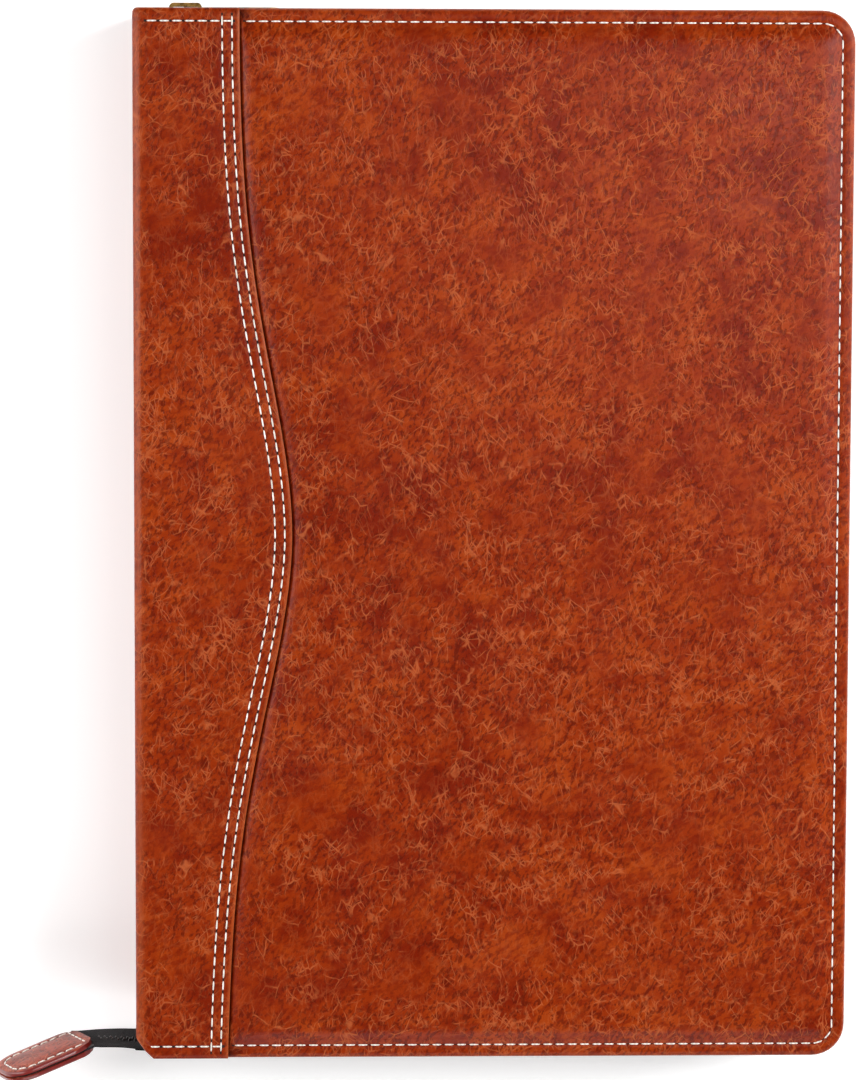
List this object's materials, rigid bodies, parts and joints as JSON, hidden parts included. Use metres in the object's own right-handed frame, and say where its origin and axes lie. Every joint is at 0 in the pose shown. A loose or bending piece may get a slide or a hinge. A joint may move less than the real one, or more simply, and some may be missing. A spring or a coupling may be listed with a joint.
{
  "type": "bible",
  "caption": "Book in a padded tan leather cover that zips shut round three sides, with a curved stitched spine wrap, gilt-edged pages, a ribbon and a leather zip tab.",
  "frame": {"origin": "middle of the cover's outline on the outer face of the back cover", "axes": "+X from the spine to the fore edge, +Y from the tail of the page to its head, +Z out of the front cover"},
  "size_m": [0.2211, 0.2796, 0.038],
  "materials": {
    "panel_leather": "aniline pull-up finish, marbled tan with darker creases, soft gloss",
    "wrap_leather": "aniline pull-up finish, marbled tan, soft gloss",
    "tab_leather": "glossy tan with dark red cut edges",
    "board": "grey binder's board",
    "foam": "thin padding foam",
    "lining_cloth": "black woven lining",
    "endpaper": "plain cream endpaper",
    "page_paper": "thin bible paper, gilt edges",
    "mull": "open-weave spine cloth under glue",
    "head_band": "striped woven bead",
    "ribbon": "satin",
    "thread": "waxed white thread",
    "zip_tape": "black herringbone woven tape",
    "zip_teeth": "black nylon coil",
    "zip_metal": "antique brass plating"
  },
  "bodies": {
    "back_cover": {"back_board": "board", "back_flyleaf": "endpaper", "back_foam_pad": "foam", "back_head_bands": "head_band", "back_infill_card": "board", "back_leather_panel": "panel_leather", "back_lining": "lining_cloth", "back_mull": "mull", "back_pages": "page_paper", "back_pastedown": "endpaper", "back_rim_thread": "thread", "back_top_stop": "zip_metal", "back_wrap_leather": "wrap_leather", "back_wrap_thread": "thread", "back_zip_tape": "zip_tape", "back_zip_teeth": "zip_teeth", "ribbon_marker": "ribbon"},
    "spine": {"spine_board": "board", "spine_leather": "wrap_leather", "spine_lining": "lining_cloth"},
    "front_cover": {"front_board": "board", "front_foam_pad": "foam", "front_infill_card": "board", "front_leather_panel": "panel_leather", "front_lining": "lining_cloth", "front_pastedown": "endpaper", "front_rim_thread": "thread", "front_top_stop": "zip_metal", "front_wrap_leather": "wrap_leather", "front_wrap_thread": "thread", "front_zip_tape": "zip_tape", "front_zip_teeth": "zip_teeth"},
    "front_pages": {"front_flyleaf": "endpaper", "front_head_bands": "head_band", "front_mull": "mull", "front_pages": "page_paper"},
    "zip_slider": {"slider_body": "zip_metal"},
    "zip_pull": {"slider_pull": "zip_metal"},
    "tail_tape": {"tail_tape": "zip_tape", "tail_teeth": "zip_teeth"},
    "tail_tab": {"tab_bottom_stop": "zip_metal", "tab_core_tape": "zip_tape", "tab_inner_leather": "tab_leather", "tab_outer_leather": "tab_leather", "tab_thread": "thread"}
  },
  "joints": [
    {"name": "spine_fold", "type": "hinge", "parent": "back_cover", "child": "spine", "pos_m": [-0.092, 0, 0], "axis": [0, -1, 0], "range_deg": [0, 90]},
    {"name": "front_cover_fold", "type": "hinge", "parent": "spine", "child": "front_cover", "pos_m": [-0.092, 0, 0.038], "axis": [0, -1, 0], "range_deg": [0, 90], "deforming": ["front_zip_teeth"]},
    {"name": "pages_turn", "type": "hinge", "parent": "back_cover", "child": "front_pages", "pos_m": [-0.0874, 0, 0.019], "axis": [0, -1, 0], "range_deg": [0, 180]},
    {"name": "tail_fold", "type": "hinge", "parent": "spine", "child": "tail_tape", "pos_m": [-0.0888, -0.134, 0.019], "axis": [0, 0, 1], "range_deg": [0, 90]},
    {"name": "tab_flex", "type": "hinge", "parent": "tail_tape", "child": "tail_tab", "pos_m": [-0.10577, -0.1337, 0.01811], "axis": [0.4039, 0.0194, 0.9146], "range_deg": [-35, 45], "stiffness_Nm_per_rad": 0.004},
    {"name": "slider_travel", "type": "slide", "parent": "back_cover", "child": "zip_slider", "axis": [1, 0, 0], "range_m": [0, 0.156], "deforming": ["back_zip_teeth"]},
    {"name": "pull_swing", "type": "hinge", "parent": "zip_slider", "child": "zip_pull", "pos_m": [-0.079, 0.13525, 0.019], "axis": [0, 0, 1], "range_deg": [0, 180]}
  ],
  "couplings": [
    {"joint": "front_cover_fold", "follows": "spine_fold", "ratio": 1},
    {"joint": "pages_turn", "follows": "spine_fold", "ratio": 2},
    {"joint": "tail_fold", "follows": "spine_fold", "ratio": 1}
  ]
}
